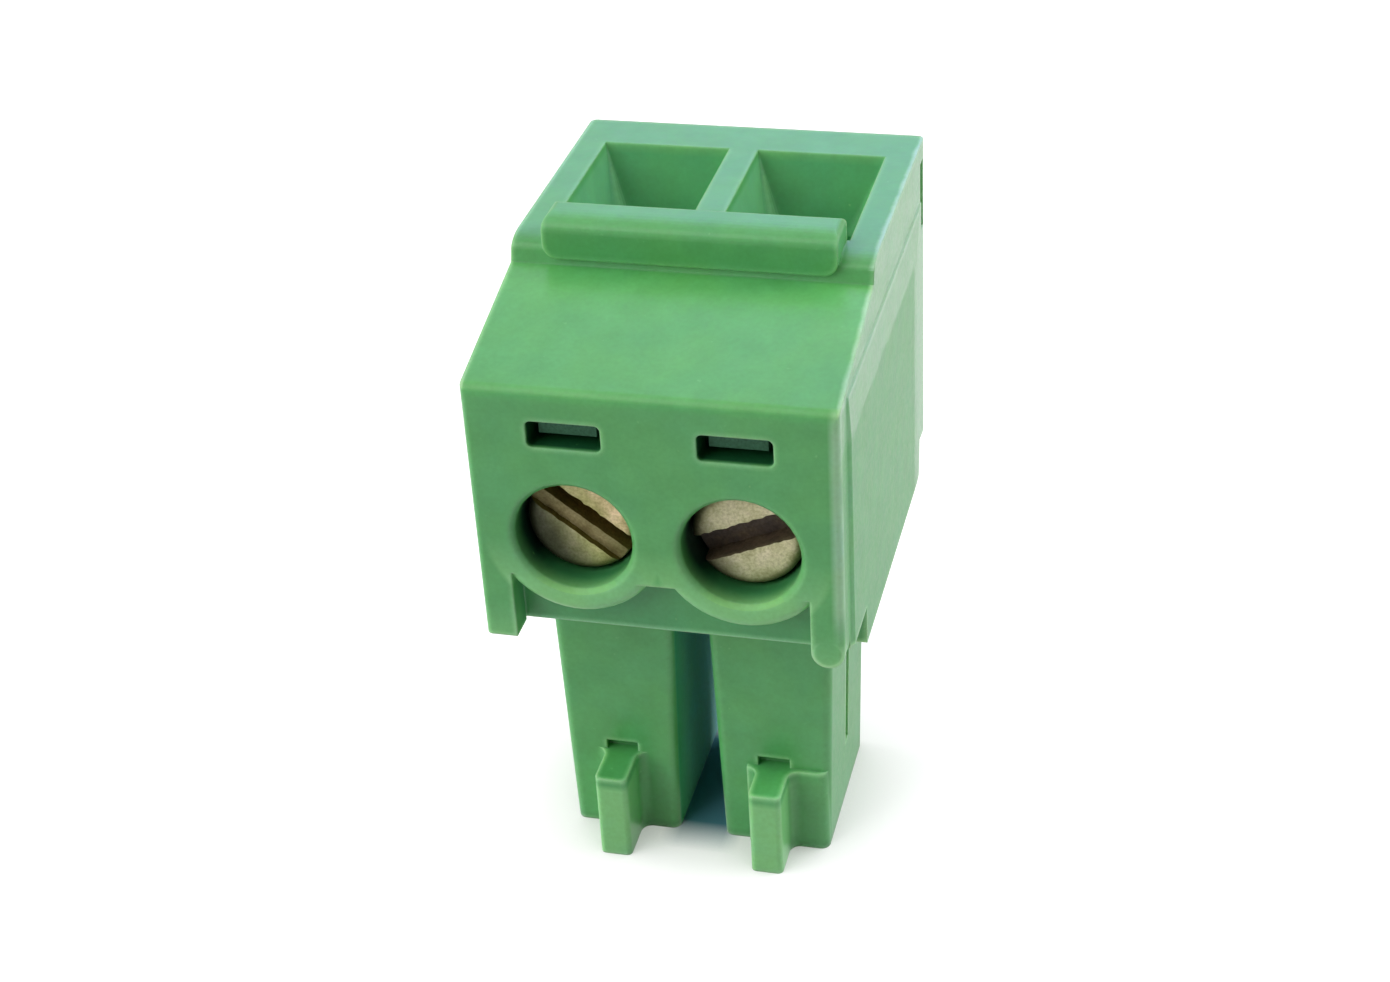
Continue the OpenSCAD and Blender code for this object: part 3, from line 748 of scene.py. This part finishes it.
def thread_radius(depth, angle):
    """Radius of the shank at a depth and an angle; the thread fades in, and sinks towards the tip."""
    rise = (depth - THREAD_START) / THREAD_FADE
    fall = (TIP_END - TIP_CONE - depth) / THREAD_FADE + TIP_THREAD
    height = max(0.0, min(1.0, rise, fall))
    wave = abs(2.0 * ((depth / THREAD_PITCH - angle / (2.0 * math.pi)) % 1.0) - 1.0)
    crest = min(1.0, max(0.0, CREST_SLOPE * wave - CREST_ROOT))
    return THREAD_ROOT + (THREAD_R - THREAD_ROOT) * crest * height


def screw_profile():
    """Pairs of depth and radius, with None for the threaded shank, from the head's face to the tip."""
    rows = [(HEAD_FRONT, 0.5 * HEAD_R), (HEAD_FRONT, HEAD_R - HEAD_ROUND)]
    for step in range(1, HEAD_STEPS + 1):
        turn = math.radians(90.0 * step / HEAD_STEPS)
        depth = HEAD_FRONT + HEAD_ROUND * (1.0 - math.cos(turn))
        rows.append((depth, HEAD_R - HEAD_ROUND * (1.0 - math.sin(turn))))
    rows += [(HEAD_SEAT - SEAT_CHAMFER, HEAD_R), (HEAD_SEAT, HEAD_R - SEAT_CHAMFER)]
    rows += [(HEAD_SEAT, THREAD_ROOT + NECK_FLARE), (HEAD_SEAT + NECK_FLARE, THREAD_ROOT)]
    depth = THREAD_START
    while depth < TIP_END - TIP_CONE:
        rows.append((depth, None))
        depth += THREAD_PITCH / THREAD_STEPS
    rows += [(TIP_END - TIP_CONE, THREAD_ROOT), (TIP_END, THREAD_ROOT - TIP_CONE)]
    return rows


def screw_rings():
    """Rings of points of the turned and threaded screw about the Y axis, depth 0 at the screw face."""
    rings = []
    for depth, radius in screw_profile():
        ring = []
        for step in range(SCREW_AROUND):
            angle = 2.0 * math.pi * step / SCREW_AROUND
            reach = thread_radius(depth, angle) if radius is None else radius
            ring.append((reach * math.cos(angle), depth, reach * math.sin(angle)))
        rings.append(ring)
    return rings


def slot_rings(side):
    """Rings of points of a bar that cuts a driver slot with torn edges, and with a ledge if it has one."""
    torn = random.Random(SLOT_SEED[side])
    bottom = SLOT_SHIFT[side] - SLOT_W[side] / 2
    top = SLOT_SHIFT[side] + SLOT_W[side] / 2
    mouth = HEAD_FRONT - SLOT_OVER
    lip = HEAD_FRONT + LIP_DEPTH
    floor = HEAD_FRONT + SLOT_D
    reach = HEAD_R + SLOT_PAST
    rings = []
    for step in range(SLOT_STEPS + 1):
        x = reach * (2.0 * step / SLOT_STEPS - 1.0)
        low = bottom + torn.uniform(-TORN["low"], TORN["low"])
        high = top + torn.uniform(-TORN["high"], TORN["high"])
        inner = bottom + SLOT_LEDGE[side] + torn.uniform(-TORN["ledge"], TORN["ledge"])
        corners = [(low - LIP_FLARE, mouth), (high + LIP_FLARE, mouth), (high, lip)]
        corners += [(top, floor), (inner, floor)]
        if SLOT_LEDGE[side]:
            corners += [(inner, HEAD_FRONT + LEDGE_DEPTH[0]), (low, HEAD_FRONT + LEDGE_DEPTH[1])]
        else:
            corners += [(low, lip)]
        rings.append([(x, depth, z) for z, depth in corners])
    return rings


def loft(name, rings, slots, smooth):
    """A closed mesh through rings of points in millimetres; slots gives each long face its material."""
    shape = bmesh.new()
    rows = [[shape.verts.new(Vector(point) * MM) for point in ring] for ring in rings]
    for near, far in zip(rows, rows[1:]):
        for step, slot in enumerate(slots):
            following = (step + 1) % len(slots)
            face = shape.faces.new((near[step], near[following], far[following], far[step]))
            face.material_index = slot
    shape.faces.new(reversed(rows[0]))
    shape.faces.new(rows[-1])
    bmesh.ops.recalc_face_normals(shape, faces=shape.faces)
    for face in shape.faces:
        face.smooth = smooth
    mesh = bpy.data.meshes.new(name)
    shape.to_mesh(mesh)
    shape.free()
    return mesh


def cut_slot(name, blank, cutter):
    """The mesh of a blank from which a cutter is taken away, with the cutter's materials in the cut."""
    cut = blank.modifiers.new("slot", "BOOLEAN")
    cut.operation = "DIFFERENCE"
    cut.solver = "EXACT"
    cut.material_mode = "TRANSFER"
    cut.object = cutter
    bpy.context.view_layer.update()
    shaped = blank.evaluated_get(bpy.context.evaluated_depsgraph_get())
    mesh = bpy.data.meshes.new_from_object(shaped)
    mesh.name = name
    return mesh


def make_screw(side, plating, slot_coats):
    """One slotted, threaded clamp screw in place of its plain CAD node."""
    name = "clamp_screw_" + side
    scene = bpy.context.scene.collection
    turned = loft(name + "_blank", screw_rings(), (0,) * SCREW_AROUND, smooth=True)
    bar = loft(name + "_cutter", slot_rings(side), SLOT_FACES[side], smooth=False)
    blank = bpy.data.objects.new(name + "_blank", turned)
    cutter = bpy.data.objects.new(name + "_cutter", bar)
    for one, coats in ((blank, [plating]), (cutter, slot_coats)):
        for coat in coats:
            one.data.materials.append(coat)
        scene.objects.link(one)
    mesh = cut_slot(name, blank, cutter)
    turn = Matrix.Rotation(math.radians(SLOT_TURN[side]), 4, "Y")
    mesh.transform(Matrix.Translation(Vector((POLES[side], FACE_Y, SCREW_Z)) * MM) @ turn)
    for one in (blank, cutter):
        bpy.data.objects.remove(one)
    screw = bpy.data.objects.new(name, mesh)
    scene.objects.link(screw)
    mesh.set_sharp_from_angle(angle=math.radians(SHARP_ANGLE))
    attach(screw, "screw_" + side)
    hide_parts("screw_" + side)


make_camera()
make_world()
make_floor()
make_lamp("softbox_high", (-193, -230, 532), level=0.24, glossy=True)
make_lamp("softbox_front", (-384, -358, 303), level=0.42)
make_lamp("softbox_left", (-571, 0, 197), level=0.50)
make_lamp("softbox_right", (473, 172, 339), level=0.69, colour=COOL_LIGHT)
make_lamp("softbox_back", (0, 300, 532), level=0.11, glossy=True)
make_lamp("window_back", (0, 473, 381), level=0.30, colour=BLUE_LIGHT, diffuse=False, glossy=True)

bpy.context.scene.view_settings.view_transform = "Standard"

# Housing

nylon = moulded_nylon(
    "moulded_nylon",
    plain=tones((85, 168, 95), (89, 173, 99), (93, 178, 103)),
    # the lighter colour of the scuffs, also used as painted light on the thin parts
    pale=srgb(130, 203, 130),
    # painted highlight on the edges
    edge_highlight=srgb(160, 222, 160),
    # painted shade in the test slots
    deep=srgb(28, 88, 50),
    # painted shade, in the screw wells and along the lower ends of the legs
    painted_shade=srgb(14, 50, 36),
    # painted bluish tint for the shade between the legs
    gap=[(0.0, srgb(80, 172, 118)), (0.25, srgb(125, 195, 170)), (1.0, srgb(135, 190, 195))],
    # painted highlight lines on the sides
    line=srgb(190, 228, 200),
)
dress(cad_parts["housing"], nylon)

# Clamp screws, each with the materials of its slot's lip, of its ledge or wall, and of its floor. These are
# lit and shaded copies of the metal: on the left screw the lip is a painted shadow, the ledge painted light
# and the floor painted shade over dark oxide; on the right screw the slot is darker partly from grime in
# the hollow and partly from painted shade that deepens from lip to floor.

olive = tones((150, 146, 96), (182, 178, 128), (206, 196, 156))
lip_olive = tones((84, 70, 14), (100, 86, 24), (114, 98, 34))
ledge_gold = tones((128, 112, 70), (156, 142, 98), (174, 158, 116))
floor_umber = tones((104, 86, 40), (128, 106, 52), (148, 124, 64))
make_screw("left", plated_metal("screw_olive", olive, side="left", **SCREW_FINISH), [
    plated_metal("slot_lip_olive", lip_olive, **SLOT_FINISH),
    plated_metal("slot_ledge_gold", ledge_gold, **LEDGE_FINISH),
    plated_metal("slot_floor_umber", floor_umber, **SLOT_FINISH),
])

champagne = tones((186, 180, 140), (214, 208, 170), (232, 222, 194))
lip_sepia = tones((96, 84, 66), (116, 102, 80), (134, 118, 94))
wall_sepia = tones((84, 70, 58), (104, 88, 70), (122, 104, 82))
floor_sepia = tones((76, 66, 62), (96, 82, 72), (116, 98, 76))
make_screw("right", plated_metal("screw_champagne", champagne, side="right", **SCREW_FINISH), [
    plated_metal("slot_lip_sepia", lip_sepia, **SLOT_FINISH),
    plated_metal("slot_wall_sepia", wall_sepia, **SLOT_FINISH),
    plated_metal("slot_floor_sepia", floor_sepia, **SLOT_FINISH),
])

# Cages and contacts

zinc_tones = tones((140, 142, 146), (170, 172, 176), (190, 192, 196))
zinc = plated_metal("cage_zinc", zinc_tones, **ZINC_FINISH)
tin_tones = tones((132, 134, 132), (158, 160, 158), (178, 180, 178))
# The contact tab's green above TAB_LOW is a painted reflection of the green housing round it, with painted
# shade.
tin = plated_metal("contact_tin", tin_tones, painted_reflection=(TAB_LOW, srgb(70, 120, 94)), **TIN_FINISH)
for side in POLES:
    dress(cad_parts["cage_" + side], zinc)
    dress(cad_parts["contact_" + side], tin)
